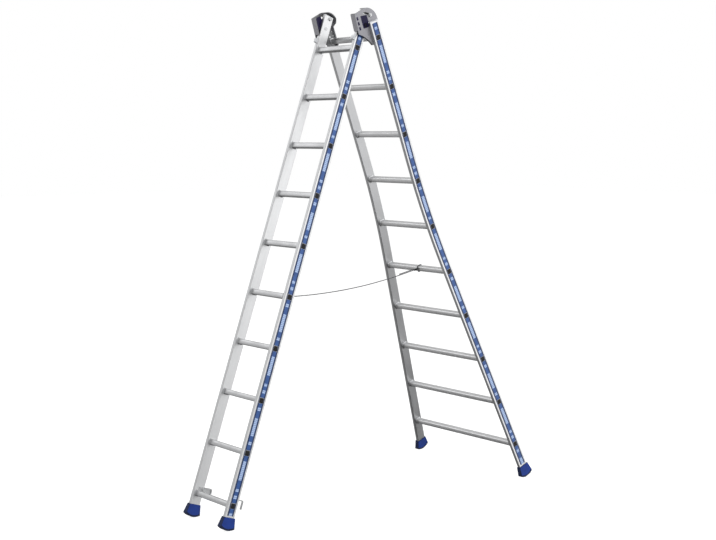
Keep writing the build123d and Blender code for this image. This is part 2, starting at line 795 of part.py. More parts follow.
# Rung hooks: bent strips inside the front stiles, with a riveted tab
hook_inner = front_inner - hook_thickness
hook_arm_middle = hook_top - hook_thickness / 2
hook_leg_middle = hook_reach - hook_thickness / 2
for name, side in sides:
    with BuildPart() as rung_hook:
        with BuildSketch(side_plane(front_frame, side * front_inner)):
            with BuildLine():
                FilletPolyline(
                    (hook_root, hook_arm_middle),
                    (hook_leg_middle, hook_arm_middle),
                    (hook_leg_middle, hook_top - hook_drop),
                    radius=hook_bend,
                )
            trace(line_width=hook_thickness)
        extrude(amount=-side * hook_width)
        with BuildSketch(side_plane(front_frame, side * front_inner)):
            with Locations((hook_rivet_middle, hook_rivet_z)):
                Rectangle(hook_tab_rear - hook_tab_front, hook_tab_height)
        extrude(amount=-side * hook_thickness)
        with BuildSketch(side_plane(front_frame, side * front_inner)):
            with Locations(*[(d, hook_rivet_z) for d in hook_rivet_depths]):
                Circle(rivet_radius + rivet_clearance)
        extrude(amount=-side * hook_width, mode=Mode.SUBTRACT)
        if name == webbed_hook:
            with BuildSketch(side_plane(front_frame, side * front_inner)):
                with Locations((hook_web_front, hook_top)):
                    Rectangle(
                        hook_leg_middle - hook_web_front,
                        hook_web_height,
                        align=(Align.MIN, Align.MAX),
                    )
                with Locations(*[(d, hook_rivet_z) for d in hook_rivet_depths]):
                    Circle(rivet_radius + rivet_clearance, mode=Mode.SUBTRACT)
            extrude(amount=-side * hook_thickness)
    rung_hook.part.label = f"rung_hook_{name}"
    export_step(rung_hook.part, f"parts/rung_hook_{name}.step")

# Rivets of the hooks
hook_grip = hook_thickness + stile_wall
hook_rivet_list = [
    make_rivet(front_frame, side * hook_inner, depth, hook_rivet_z, side, hook_grip)
    for _, side in sides
    for depth in hook_rivet_depths
]
with BuildPart() as hook_rivet_group:
    add(hook_rivet_list)
hook_rivet_group.part.label = "hook_rivets"
export_step(hook_rivet_group.part, "parts/hook_rivets.step")

# Stop cleats on the front edges of the front stiles
cleat_z = front_rungs[0] + cleat_above_rung
for name, side in sides:
    with BuildPart() as stop_cleat:
        with BuildSketch(side_plane(front_frame, side * front_centre)):
            with Locations((-stile_depth / 2 - cleat_reach / 2, cleat_z)):
                Rectangle(cleat_reach, cleat_height)
        extrude(amount=cleat_width / 2, both=True)
        nose = stop_cleat.faces().sort_by(Axis(pivot, front_frame.y_dir))[0]
        fillet(nose.edges().filter_by(Axis.X), cleat_corner)
    stop_cleat.part.label = f"stop_cleat_{name}"
    export_step(stop_cleat.part, f"parts/stop_cleat_{name}.step")


def make_loop(frame, x, depth, z):
    """Eye of the rope, round a rung."""
    reach = rung_size / 2 + rope_gap + rope_radius
    turns = ((1, 1), (-1, 1), (-1, -1), (1, -1))
    corners = [(depth + a * reach, z + b * reach) for a, b in turns]
    with BuildPart() as loop:
        with BuildLine(side_plane(frame, x)) as path:
            FilletPolyline(*corners, radius=rung_corner + rope_gap + rope_radius, close=True)
        with BuildSketch(Plane(origin=path.wire() @ 0, z_dir=path.wire() % 0)):
            Circle(rope_radius)
        sweep(path=path.wire())
    return loop.part


def make_ferrule(start, end):
    """Crimped sleeve from start to end."""
    with BuildPart() as ferrule:
        with BuildSketch(Plane(origin=start, z_dir=end - start)):
            Circle(ferrule_radius)
        extrude(amount=(end - start).length)
        fillet(ferrule.edges().filter_by(GeomType.CIRCLE), ferrule_radius / 5)
    return ferrule.part


# Spreader rope: an eye and a ferrule at each end, and a slack run between them
rope_reach = rung_size / 2 + rope_gap + rope_radius
rope_front_z = front_rungs[rope_rung - 1]
rope_rear_z = rear_rungs[rope_rung - 1]
rope_from = front_frame.from_local_coords((rope_front_x, rope_reach, rope_front_z))
rope_to = rear_frame.from_local_coords((rope_rear_x, section_offset - rope_reach, rope_rear_z))
rope_way = (rope_to - rope_from).normalized()
end_length = rope_radius + ferrule_stand_off + ferrule_length
rope_first = rope_from + rope_way * end_length
rope_last = rope_to - rope_way * end_length
rope_steps = len(rope_drops) + 1
rope_points = [rope_first]
for i, drop in enumerate(rope_drops):
    along = rope_first + (rope_last - rope_first) * ((i + 1) / rope_steps)
    rope_points.append(along - Vector(0, 0, drop))
rope_points.append(rope_last)
rope_radii = []
for before, corner, after in zip(rope_points, rope_points[1:], rope_points[2:]):
    turn = radians((corner - before).get_angle(after - corner))
    shorter = min((corner - before).length, (after - corner).length)
    rope_radii.append(rope_bend_share * shorter / tan(turn / 2))
with BuildPart() as spreader_rope:
    with BuildLine() as rope_path:
        FilletPolyline(*rope_points, radius=rope_radii)
    with BuildSketch(Plane(origin=rope_points[0], z_dir=rope_points[1] - rope_points[0])):
        Circle(rope_radius)
    sweep(path=rope_path.wire())
spreader_rope.part.label = "spreader_rope"
export_step(spreader_rope.part, "parts/spreader_rope.step")
rope_volume = pi * rope_radius**2 * rope_path.wire().length
print("rope length", rope_path.wire().length, "volume ratio", spreader_rope.part.volume / rope_volume)

front_loop = make_loop(front_frame, rope_front_x, 0, rope_front_z)
front_loop.label = "rope_loop_front"
export_step(front_loop, "parts/rope_loop_front.step")
rear_loop = make_loop(rear_frame, rope_rear_x, section_offset, rope_rear_z)
rear_loop.label = "rope_loop_rear"
export_step(rear_loop, "parts/rope_loop_rear.step")
front_way = (rope_points[1] - rope_points[0]).normalized()
front_ferrule_end = rope_points[0] - front_way * ferrule_gap
front_ferrule_start = front_ferrule_end - front_way * (ferrule_length - ferrule_gap)
front_ferrule = make_ferrule(front_ferrule_start, front_ferrule_end)
front_ferrule.label = "rope_ferrule_front"
export_step(front_ferrule, "parts/rope_ferrule_front.step")
rear_way = (rope_points[-1] - rope_points[-2]).normalized()
rear_ferrule_start = rope_points[-1] + rear_way * ferrule_gap
rear_ferrule_end = rear_ferrule_start + rear_way * (ferrule_length - ferrule_gap)
rear_ferrule = make_ferrule(rear_ferrule_start, rear_ferrule_end)
rear_ferrule.label = "rope_ferrule_rear"
export_step(rear_ferrule, "parts/rope_ferrule_rear.step")
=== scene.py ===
import math

import bpy
from mathutils import Matrix, Vector


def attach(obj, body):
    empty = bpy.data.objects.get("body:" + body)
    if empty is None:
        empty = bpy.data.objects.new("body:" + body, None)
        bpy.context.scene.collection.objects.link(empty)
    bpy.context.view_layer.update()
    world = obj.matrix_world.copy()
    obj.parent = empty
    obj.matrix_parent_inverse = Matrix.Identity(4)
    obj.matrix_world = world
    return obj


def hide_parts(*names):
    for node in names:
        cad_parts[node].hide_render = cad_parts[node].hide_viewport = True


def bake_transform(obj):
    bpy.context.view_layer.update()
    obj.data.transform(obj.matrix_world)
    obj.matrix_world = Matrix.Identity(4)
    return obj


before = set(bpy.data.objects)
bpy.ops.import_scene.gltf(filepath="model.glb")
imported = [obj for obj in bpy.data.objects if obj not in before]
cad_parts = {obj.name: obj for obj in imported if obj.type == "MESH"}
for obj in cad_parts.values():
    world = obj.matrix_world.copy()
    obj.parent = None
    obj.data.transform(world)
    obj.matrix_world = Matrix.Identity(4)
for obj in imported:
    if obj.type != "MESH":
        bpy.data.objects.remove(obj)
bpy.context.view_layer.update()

# Sizes of the ladder, in metres, that its materials and the rope follow
MM = 0.001
RUNG_COUNT = 10
RUNG_SIZE = 0.026
RUNG_CORNER = 0.004
SOLE_RADIUS = 0.073
SIDES = ("left", "right")
SECTIONS = ("front", "rear")
RIGHT = Vector((1, 0, 0))


def node_centre(name):
    """Middle of a frame node's box."""
    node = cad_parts[name]
    corners = [node.matrix_world @ Vector(corner) for corner in node.bound_box]
    return sum(corners, Vector()) / len(corners)


# Each section as it stands: the middle of its top rung, the way up along its stiles,
# the way rearward across them, and the distance from rung to rung
TOP = {s: node_centre(f"{s}_rung_1") for s in SECTIONS}
CLIMB = {s: TOP[s] - node_centre(f"{s}_rung_{RUNG_COUNT}") for s in SECTIONS}
UP = {s: CLIMB[s].normalized() for s in SECTIONS}
BACK = {s: UP[s].cross(RIGHT) for s in SECTIONS}
RUNG_PITCH = CLIMB["front"].length / (RUNG_COUNT - 1)

# The photograph's camera
CAMERA_PLACE = Vector((4.8497, -4.1510, 1.8080))
CAMERA_AZIMUTH = math.radians(49.13)
CAMERA_DOWN = math.radians(6.02)
CAMERA_ROLL = math.radians(0.02)
FOCAL_PIXELS = 1273.2
PHOTO_WIDTH = 716
SENSOR = 36.0
TOWARD_CAMERA = Vector((
    math.sin(CAMERA_AZIMUTH) * math.cos(CAMERA_DOWN),
    -math.cos(CAMERA_AZIMUTH) * math.cos(CAMERA_DOWN),
    math.sin(CAMERA_DOWN),
))


def make_camera():
    """Camera at the photograph's place, aimed by its azimuth, tilt and roll."""
    data = bpy.data.cameras.new("photo_camera")
    data.sensor_width = SENSOR
    data.lens = FOCAL_PIXELS / PHOTO_WIDTH * SENSOR
    camera = bpy.data.objects.new("photo_camera", data)
    bpy.context.collection.objects.link(camera)
    turn = TOWARD_CAMERA.to_track_quat("Z", "Y").to_matrix() @ Matrix.Rotation(CAMERA_ROLL, 3, "Z")
    camera.matrix_world = Matrix.Translation(CAMERA_PLACE) @ turn.to_4x4()
    bpy.context.scene.camera = camera


make_camera()

# Spreader rope: the chosen route, tied between one rung of each section
ROPE_DIAMETER = 0.005
ROPE_DROPS = (7.5, 13.5, 18.0, 21.5, 23.5, 24.0, 23.5, 21.0, 17.5, 13.0, 7.0)
STRANDS = 3
STRAND_RADIUS = 0.00128
STRAND_LAY = 0.021
STRAND_SIDES = 8
ROPE_STEP = 0.0018
ROUTE_RESOLUTION = 24
ROPE_RUNG = 6
EYE_GAP = 0.0004
EYE_CORNER_STEPS = 8
EYE_X = {"front": 0.121, "rear": 0.015}
EYE_REACH = RUNG_SIZE / 2 + EYE_GAP + ROPE_DIAMETER / 2
FERRULE_STAND_OFF = 0.0024
FERRULE_LENGTH = 0.024
TAIL_LENGTH = 0.12


def on_section(section, x, depth, height):
    """A point of a section: along the rungs, rearward and up from the middle of its top rung."""
    return TOP[section] + RIGHT * x + BACK[section] * depth + UP[section] * height


# The run of the rope starts and ends at the ferrules, on the line between the two eyes
TIE_HEIGHT = -(ROPE_RUNG - 1) * RUNG_PITCH
FRONT_TIE = on_section("front", EYE_X["front"], EYE_REACH, TIE_HEIGHT)
REAR_TIE = on_section("rear", EYE_X["rear"], -EYE_REACH, TIE_HEIGHT)
ROPE_END = ROPE_DIAMETER / 2 + FERRULE_STAND_OFF + FERRULE_LENGTH
ROPE_FIRST = FRONT_TIE + (REAR_TIE - FRONT_TIE).normalized() * ROPE_END
ROPE_LAST = REAR_TIE + (FRONT_TIE - REAR_TIE).normalized() * ROPE_END


def rope_route():
    """The rope's points: an even chord between its ends, lowered by the chosen drops."""
    steps = len(ROPE_DROPS) + 1
    points = [ROPE_FIRST]
    for i, drop in enumerate(ROPE_DROPS):
        along = ROPE_FIRST.lerp(ROPE_LAST, (i + 1) / steps)
        points.append(along - Vector((0, 0, drop * MM)))
    return points + [ROPE_LAST]


def nurbs_points(points):
    """Points read from a smooth spline that has these control points."""
    curve = bpy.data.curves.new("route", "CURVE")
    curve.dimensions = "3D"
    spline = curve.splines.new("NURBS")
    spline.points.add(len(points) - 1)
    for target, point in zip(spline.points, points):
        target.co = (*point, 1.0)
    spline.order_u = 3
    spline.use_endpoint_u = True
    spline.resolution_u = ROUTE_RESOLUTION
    holder = bpy.data.objects.new("route", curve)
    mesh = bpy.data.meshes.new_from_object(holder)
    line = [v.co.copy() for v in mesh.vertices]
    bpy.data.objects.remove(holder)
    bpy.data.curves.remove(curve)
    bpy.data.meshes.remove(mesh)
    return line


def even_points(line, step, closed=False):
    """The same line with points an even step apart."""
    chain = line + [line[0]] if closed else line
    lengths = [0.0]
    for a, b in zip(chain, chain[1:]):
        lengths.append(lengths[-1] + (b - a).length)
    count = max(2, round(lengths[-1] / step))
    result = []
    k = 0
    for i in range(count if closed else count + 1):
        at = lengths[-1] * i / count
        while k < len(chain) - 2 and lengths[k + 1] < at:
            k += 1
        share = (at - lengths[k]) / (lengths[k + 1] - lengths[k])
        result.append(chain[k].lerp(chain[k + 1], share))
    return result, lengths[-1]


def carried_frames(line, closed=False):
    """A pair of cross directions at each point, carried along without twist."""
    count = len(line)
    frames = []
    cross = None
    for i in range(count):
        before = line[i - 1] if closed or i else line[0]
        after = line[(i + 1) % count] if closed else line[min(i + 1, count - 1)]
        ahead = (after - before).normalized()
        if cross is None:
            cross = ahead.orthogonal()
        cross = (cross - ahead * cross.dot(ahead)).normalized()
        frames.append((cross.copy(), ahead.cross(cross)))
    return frames


def twisted_rope(name, line, length, closed=False):
    """A laid rope: strands wound round a line, joined in one mesh."""
    frames = carried_frames(line, closed)
    count = len(line)
    turns = max(1, round(length / STRAND_LAY))
    wind = ROPE_DIAMETER / 2 - STRAND_RADIUS
    slant = math.atan2(2 * math.pi * turns * wind, length)
    steps = count if closed else count - 1
    vertices, faces = [], []
    for strand in range(STRANDS):
        first = len(vertices)
        for i in range(count):
            angle = 2 * math.pi * (turns * i / steps + strand / STRANDS)
            side, over = frames[i]
            out = side * math.cos(angle) + over * math.sin(angle)
            around = over * math.cos(angle) - side * math.sin(angle)
            middle = line[i] + out * wind
            ahead = side.cross(over)
            across = around * math.cos(slant) - ahead * math.sin(slant)
            for j in range(STRAND_SIDES):
                turn = 2 * math.pi * j / STRAND_SIDES
                vertices.append(middle + (out * math.cos(turn) + across * math.sin(turn)) * STRAND_RADIUS)
        for i in range(steps):
            for j in range(STRAND_SIDES):
                a = first + i * STRAND_SIDES
                b = first + (i + 1) % count * STRAND_SIDES
                k = (j + 1) % STRAND_SIDES
                faces.append((a + j, a + k, b + k, b + j))
        if not closed:
            last = first + (count - 1) * STRAND_SIDES
            faces.append(tuple(first + j for j in reversed(range(STRAND_SIDES))))
            faces.append(tuple(last + j for j in range(STRAND_SIDES)))
    return mesh_object(name, vertices, faces)


def mesh_object(name, vertices, faces, smooth=True):
    """A new mesh object in the scene."""
    mesh = bpy.data.meshes.new(name)
    mesh.from_pydata([tuple(v) for v in vertices], [], faces)
    mesh.validate()
    mesh.polygons.foreach_set("use_smooth", [smooth] * len(mesh.polygons))
    piece = bpy.data.objects.new(name, mesh)
    bpy.context.collection.objects.link(piece)
    return piece


def make_eye(section):
    """Eye of the rope round a rung, following the rung's rounded square."""
    bend = RUNG_CORNER + EYE_GAP + ROPE_DIAMETER / 2
    line = []
    for corner in range(4):
        middle = math.pi / 4 + corner * math.pi / 2
        across = math.copysign(EYE_REACH - bend, math.cos(middle))
        upward = math.copysign(EYE_REACH - bend, math.sin(middle))
        for i in range(EYE_CORNER_STEPS + 1):
            angle = corner * math.pi / 2 + math.pi / 2 * i / EYE_CORNER_STEPS
            depth = across + bend * math.cos(angle)
            height = upward + bend * math.sin(angle)
            line.append(on_section(section, EYE_X[section], depth, TIE_HEIGHT + height))
    line, length = even_points(line, ROPE_STEP, closed=True)
    eye = twisted_rope(f"rope_eye_{section}", line, length, closed=True)
    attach(eye, f"{section}_section")
    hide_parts(f"rope_loop_{section}")
    return eye


def make_tail(line):
    """Free tail of the rear splice, doubled back on top of the run beside its ferrule."""
    count = round(TAIL_LENGTH / ROPE_STEP)
    under = line[-count:-1]
    ahead = (under[-1] - under[0]).normalized()
    above = (Vector((0, 0, 1)) - ahead * ahead.z).normalized()
    lift = above * (ROPE_DIAMETER + EYE_GAP)
    tail = twisted_rope("rope_tail", [point + lift for point in under], TAIL_LENGTH)
    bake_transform(tail)
    return tail


rope_line, rope_length = even_points(nurbs_points(rope_route()), ROPE_STEP)
rope = twisted_rope("rope", rope_line, rope_length)
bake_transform(rope)
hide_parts("spreader_rope")
tail = make_tail(rope_line)
eyes = [make_eye(section) for section in SECTIONS]


# Node materials

# Where most values of a noise texture lie, and its core, for harder contrast
NOISE_LOW, NOISE_HIGH = 0.3, 0.7
CORE_LOW, CORE_HIGH = 0.35, 0.65
# How squarely a face looks one way, from the first hint of that side's tone to its full tone
FACING_FROM, FACING_TO = 0.5, 0.9
# How far dulled metal goes toward black, the detail of fine grain, and the gloss of rubber and plastic
DULLING = 0.11
BLACK = (0.008, 0.008, 0.009)
FINE_DETAIL = 2.0
DULL_SPECULAR = 0.25


class Paint:
    """A node material, with short calls for adding nodes and joining them."""

    def __init__(self, name):
        self.material = bpy.data.materials.new(name)
        self.material.use_nodes = True
        self.nodes = self.material.node_tree.nodes
        self.links = self.material.node_tree.links
        self.shader = self.nodes["Principled BSDF"]

    def set(self, **values):
        """Constant values on the shader's own sockets."""
        for key, value in values.items():
            self.shader.inputs[key.replace("_", " ").title().replace("Ior", "IOR")].default_value = value

    def join(self, source, socket):
        self.links.new(source, self.shader.inputs[socket])

    def feed(self, node, index, value):
        """Links a socket, or sets a constant, on a node's input."""
        if isinstance(value, bpy.types.NodeSocket):
            self.links.new(value, node.inputs[index])
        else:
            node.inputs[index].default_value = value

    def place(self):
        return self.nodes.new("ShaderNodeTexCoord").outputs["Object"]

    def normal(self):
        return self.nodes.new("ShaderNodeNewGeometry").outputs["Normal"]

    def math(self, operation, a, b=0.0):
        node = self.nodes.new("ShaderNodeMath")
        node.operation = operation
        self.feed(node, 0, a)
        self.feed(node, 1, b)
        return node.outputs[0]

    def dot(self, vector, direction):
        node = self.nodes.new("ShaderNodeVectorMath")
        node.operation = "DOT_PRODUCT"
        self.feed(node, 0, vector)
        node.inputs[1].default_value = direction
        return node.outputs["Value"]

    def combine(self, x, y, z):
        node = self.nodes.new("ShaderNodeCombineXYZ")
        for index, value in enumerate((x, y, z)):
            self.feed(node, index, value)
        return node.outputs[0]

    def noise(self, vector, scale, detail=3.0, roughness=0.5):
        node = self.nodes.new("ShaderNodeTexNoise")
        self.feed(node, "Vector", vector)
        node.inputs["Scale"].default_value = scale
        node.inputs["Detail"].default_value = detail
        node.inputs["Roughness"].default_value = roughness
        return node.outputs["Fac"]

    def span(self, value, low, high, to_low, to_high):
        """Maps low..high to to_low..to_high, clamped."""
        node = self.nodes.new("ShaderNodeMapRange")
        self.feed(node, 0, value)
        for index, number in enumerate((low, high, to_low, to_high), start=1):
            node.inputs[index].default_value = number
        return node.outputs[0]

    def uneven(self, noise, low, high):
        """Stretches a noise's usual range over low..high."""
        return self.span(noise, NOISE_LOW, NOISE_HIGH, low, high)

    def contrast(self, noise):
        """Stretches a noise's core over 0..1."""
        return self.span(noise, CORE_LOW, CORE_HIGH, 0, 1)

    def facing(self, amount):
        """Share of a side's tone that a face takes, from how squarely it looks that way."""
        return self.span(amount, FACING_FROM, FACING_TO, 0, 1)

    def outward(self, normal, across):
        """How far a face looks away from the ladder's middle: 1 outward, -1 inward."""
        return self.math("MULTIPLY", self.dot(normal, (1, 0, 0)), self.math("SIGN", across))

    def weigh(self, a, b, share):
        """The sum of two values, a taken by its share and b by the rest."""
        return self.math("ADD", self.math("MULTIPLY", a, share), self.math("MULTIPLY", b, 1.0 - share))

    def dulled(self, colour):
        """The same colour, a little darker."""
        return self.mix(DULLING, colour, BLACK)

    def mix(self, share, a, b):
        node = self.nodes.new("ShaderNodeMix")
        node.data_type = "RGBA"
        self.feed(node, "Factor", share)
        for index, colour in ((6, a), (7, b)):
            if isinstance(colour, bpy.types.NodeSocket):
                self.links.new(colour, node.inputs[index])
            else:
                node.inputs[index].default_value = (*colour, 1.0)
        return node.outputs[2]

    def steps(self, value, stops):
        """A hard-edged 0 or 1 pattern over 0..1: a list of (place, level)."""
        node = self.nodes.new("ShaderNodeValToRGB")
        ramp = node.color_ramp
        ramp.interpolation = "CONSTANT"
        while len(ramp.elements) < len(stops):
            ramp.elements.new(0.5)
        for element, (place, level) in zip(ramp.elements, stops):
            element.position = place
            element.color = (level, level, level, 1.0)
        self.feed(node, 0, value)
        return node.outputs[0]

    def bump(self, height, strength, distance):
        node = self.nodes.new("ShaderNodeBump")
        node.inputs["Strength"].default_value = strength
        node.inputs["Distance"].default_value = distance
        self.links.new(height, node.inputs["Height"])
        self.join(node.outputs["Normal"], "Normal")


def section_places(paint, section):
    """Distances along the rungs, rearward and up the stile from a section's top rung."""
    place = paint.place()
    origin = TOP[section]
    across = paint.dot(place, (1, 0, 0))
    depth = paint.math("SUBTRACT", paint.dot(place, BACK[section]), origin.dot(BACK[section]))
    along = paint.math("SUBTRACT", paint.dot(place, UP[section]), origin.dot(UP[section]))
    return across, depth, along


# Colours, as linear light
# Stile tone of the inner faces; the rear section's darker tone is painted shade
ALUMINIUM_REAR_PAINTED_SHADE = {"front": (0.88, 0.885, 0.895), "rear": (0.58, 0.585, 0.595)}
# Lighter stile tone on the outer faces: painted light
OUTER_PAINTED_LIGHT = {"front": (0.94, 0.945, 0.95), "rear": (0.86, 0.865, 0.875)}
# Darker stile tone on the narrow faces: painted shade
NARROW_PAINTED_SHADE = {"front": (0.6, 0.605, 0.615), "rear": (0.6, 0.605, 0.615)}
# Rung tone per section, a lighter and a darker copy of one metal: painted light and shade
RUNG_LIT_AND_SHADED = {"front": (0.59, 0.595, 0.605), "rear": (0.90, 0.905, 0.915)}
# Darker tone on rung faces that look rearward: painted shade
RUNG_BACK_PAINTED_SHADE = (0.55, 0.555, 0.565)
RUNG_END = (0.22, 0.22, 0.225)
LABEL_BLUE = (0.03, 0.1, 0.33)
LABEL_NAVY = (0.01, 0.028, 0.1)
LABEL_PALE = (0.42, 0.55, 0.81)
FOOT_BLUE = (0.014, 0.046, 0.27)
FOOT_NAVY = (0.007, 0.014, 0.05)
GUIDE_NAVY = (0.006, 0.004, 0.03)
PIN_BLACK = (0.012, 0.011, 0.02)
PLATE_GREY = (0.36, 0.358, 0.385)
# Darker tone on the hinge plate's inward and rearward faces: painted shade
PLATE_PAINTED_SHADE = (0.2, 0.203, 0.21)
STEEL = (0.72, 0.73, 0.74)
CAP_GREY = (0.45, 0.46, 0.475)
ROPE_GREY = (0.07, 0.07, 0.074)
BUSH_GREY = (0.55, 0.56, 0.57)

# Aluminium: noise scales per metre, how far lines and clouds stretch, relief as strength and distance
LINE_SCALE, LINE_DETAIL = 900, 4.0
LINE_RELIEF = (0.12, 0.0004)
ALUMINIUM_METALLIC = 0.97
STILE_LINE_STRETCH = 0.004
STILE_LINE_SHARE = 0.55
STILE_CLOUD_SCALE = 22
STILE_CLOUD_STRETCH = 0.25
STILE_ROUGH = (0.34, 0.46)


def extruded(name, section):
    """Satin aluminium with die lines along the stile, with painted light making it brightest on its outer
    face, painted shade on its narrow faces, and painted shade darkening the rear section.
    """
    paint = Paint(name)
    across, depth, along = section_places(paint, section)
    drawn = paint.combine(across, depth, paint.math("MULTIPLY", along, STILE_LINE_STRETCH))
    drifting = paint.combine(across, depth, paint.math("MULTIPLY", along, STILE_CLOUD_STRETCH))
    lines = paint.noise(drawn, LINE_SCALE, LINE_DETAIL)
    cloud = paint.noise(drifting, STILE_CLOUD_SCALE)
    share = paint.contrast(paint.weigh(lines, cloud, STILE_LINE_SHARE))
    normal = paint.normal()
    narrow_painted_shade = paint.facing(paint.math("ABSOLUTE", paint.dot(normal, BACK[section])))
    outer = paint.facing(paint.outward(normal, across))
    # Painted shade on the narrow faces, then painted light on the outer faces
    lit_and_shaded_tone = paint.mix(narrow_painted_shade, ALUMINIUM_REAR_PAINTED_SHADE[section], NARROW_PAINTED_SHADE[section])
    lit_and_shaded_tone = paint.mix(outer, lit_and_shaded_tone, OUTER_PAINTED_LIGHT[section])
    paint.join(paint.mix(share, paint.dulled(lit_and_shaded_tone), lit_and_shaded_tone), "Base Color")
    paint.join(paint.uneven(cloud, *STILE_ROUGH), "Roughness")
    paint.set(metallic=ALUMINIUM_METALLIC)
    paint.bump(lines, *LINE_RELIEF)
    return paint.material


# Rungs: how far their faces are crowned, per metre, and the depth of their die lines, both as full relief
RUNG_CROWN = 10.0
RUNG_LINE_DEPTH = 0.00005
RUNG_LINE_STRETCH = 0.006
RUNG_WEAR_SCALE = 14
RUNG_ROUGH = (0.28, 0.42)
FULL_RELIEF = (1.0, 1.0)
END_FACING = 0.9


def rung_metal(name, section):
    """Satin aluminium with die lines, slightly crowned faces, painted shade on the faces that look
    rearward, and sawn dark ends.
    """
    paint = Paint(name)
    across, depth, along = section_places(paint, section)
    turn = paint.math("FRACT", paint.math("ADD", paint.math("DIVIDE", along, RUNG_PITCH), 0.5))
    height = paint.math("MULTIPLY", paint.math("SUBTRACT", turn, 0.5), RUNG_PITCH)
    drawn = paint.combine(paint.math("MULTIPLY", across, RUNG_LINE_STRETCH), depth, along)
    lines = paint.noise(drawn, LINE_SCALE, LINE_DETAIL)
    wear = paint.noise(paint.place(), RUNG_WEAR_SCALE)
    normal = paint.normal()
    rearward = paint.facing(paint.dot(normal, BACK[section]))
    # Painted shade on the faces that look rearward
    lit_and_shaded_tone = paint.mix(rearward, RUNG_LIT_AND_SHADED[section], RUNG_BACK_PAINTED_SHADE)
    tone = paint.mix(paint.contrast(lines), paint.dulled(lit_and_shaded_tone), lit_and_shaded_tone)
    end = paint.math("GREATER_THAN", paint.outward(normal, across), END_FACING)
    paint.join(paint.mix(end, tone, RUNG_END), "Base Color")
    paint.join(paint.uneven(wear, *RUNG_ROUGH), "Roughness")
    paint.set(metallic=ALUMINIUM_METALLIC)
    square = paint.math("ADD", paint.math("MULTIPLY", depth, depth), paint.math("MULTIPLY", height, height))
    crown = paint.math("MULTIPLY", square, -RUNG_CROWN)
    relief = paint.math("ADD", crown, paint.math("MULTIPLY", lines, RUNG_LINE_DEPTH))
    paint.bump(relief, *FULL_RELIEF)
    return paint.material


# Label: where pale bars start and end within two rung pitches, their half widths and their hatching
LABEL_BARS = (
    (0.0, 0), (0.075, 1), (0.105, 0), (0.16, 1), (0.33, 0), (0.40, 1), (0.43, 0),
    (0.565, 1), (0.595, 0), (0.63, 1), (0.66, 0), (0.74, 1), (0.92, 0),
)
LABEL_BAR_HALF = 0.0085
LABEL_EDGE_HALF = 0.0095
LABEL_HATCH = 0.0085
LABEL_HATCH_GAP = 0.3
LABEL_HATCH_DIM = 0.38
LABEL_CLOUD_SCALE = 30
LABEL_CLOUD_SHARE = 0.35
LABEL_ROUGH = (0.28, 0.4)
LABEL_COAT = 0.1


def label_film(name, section):
    """Blue film with navy edges and a plain pattern of pale bars between the rungs."""
    paint = Paint(name)
    _, depth, along = section_places(paint, section)
    offside = paint.math("ABSOLUTE", depth)
    run = paint.math("FRACT", paint.math("DIVIDE", along, 2 * RUNG_PITCH))
    bars = paint.steps(run, LABEL_BARS)
    inside = paint.math("LESS_THAN", offside, LABEL_BAR_HALF)
    stroke = paint.math("FRACT", paint.math("DIVIDE", along, LABEL_HATCH))
    hatch = paint.span(paint.math("GREATER_THAN", stroke, LABEL_HATCH_GAP), 0, 1, LABEL_HATCH_DIM, 1.0)
    pale = paint.math("MULTIPLY", paint.math("MULTIPLY", bars, inside), hatch)
    edge = paint.math("GREATER_THAN", offside, LABEL_EDGE_HALF)
    tone = paint.noise(paint.place(), LABEL_CLOUD_SCALE)
    body = paint.mix(paint.uneven(tone, 0, LABEL_CLOUD_SHARE), LABEL_BLUE, LABEL_NAVY)
    paint.join(paint.mix(edge, paint.mix(pale, body, LABEL_PALE), LABEL_NAVY), "Base Color")
    paint.join(paint.uneven(tone, *LABEL_ROUGH), "Roughness")
    paint.set(coat_weight=LABEL_COAT)
    return paint.material


# Feet: the sole's navy rim, the sole's distance below the lowest rung, and the rubber's grain
FOOT_RIM = 0.009
SOLE_BELOW_RUNG = {"front": 0.1145, "rear": 0.1885}
# Faces that look less squarely sideways than this take navy as painted shade
FOOT_FLANK = 0.8
FOOT_GRAIN_SCALE = 700
FOOT_PATCH_SCALE = 40
FOOT_PATCH_SHARE = 0.3
FOOT_ROUGH = (0.5, 0.66)
FOOT_RELIEF = (0.2, 0.0005)


def foot_rubber(name, section):
    """Blue moulded rubber, with navy painted shade on its narrow faces, and navy along the sole."""
    paint = Paint(name)
    place = paint.place()
    drop = CLIMB[section].length + SOLE_BELOW_RUNG[section] - SOLE_RADIUS
    centre = on_section(section, 0, 0, -drop)
    side = paint.math("SUBTRACT", paint.dot(place, (0, 1, 0)), centre.y)
    height = paint.math("SUBTRACT", paint.dot(place, (0, 0, 1)), centre.z)
    square = paint.math("ADD", paint.math("MULTIPLY", side, side), paint.math("MULTIPLY", height, height))
    rim = paint.math("GREATER_THAN", paint.math("SQRT", square), SOLE_RADIUS - FOOT_RIM)
    flank = paint.math("ABSOLUTE", paint.dot(paint.normal(), (1, 0, 0)))
    # Narrow faces take navy as painted shade
    narrow_painted_shade = paint.math("LESS_THAN", flank, FOOT_FLANK)
    rim_and_painted_shade = paint.math("MAXIMUM", rim, narrow_painted_shade)
    grain = paint.noise(place, FOOT_GRAIN_SCALE, FINE_DETAIL)
    patch = paint.noise(place, FOOT_PATCH_SCALE)
    shade = paint.mix(paint.uneven(patch, 0, FOOT_PATCH_SHARE), FOOT_BLUE, FOOT_NAVY)
    paint.join(paint.mix(rim_and_painted_shade, shade, FOOT_NAVY), "Base Color")
    paint.join(paint.uneven(grain, *FOOT_ROUGH), "Roughness")
    paint.set(specular_ior_level=DULL_SPECULAR)
    paint.bump(grain, *FOOT_RELIEF)
    return paint.material


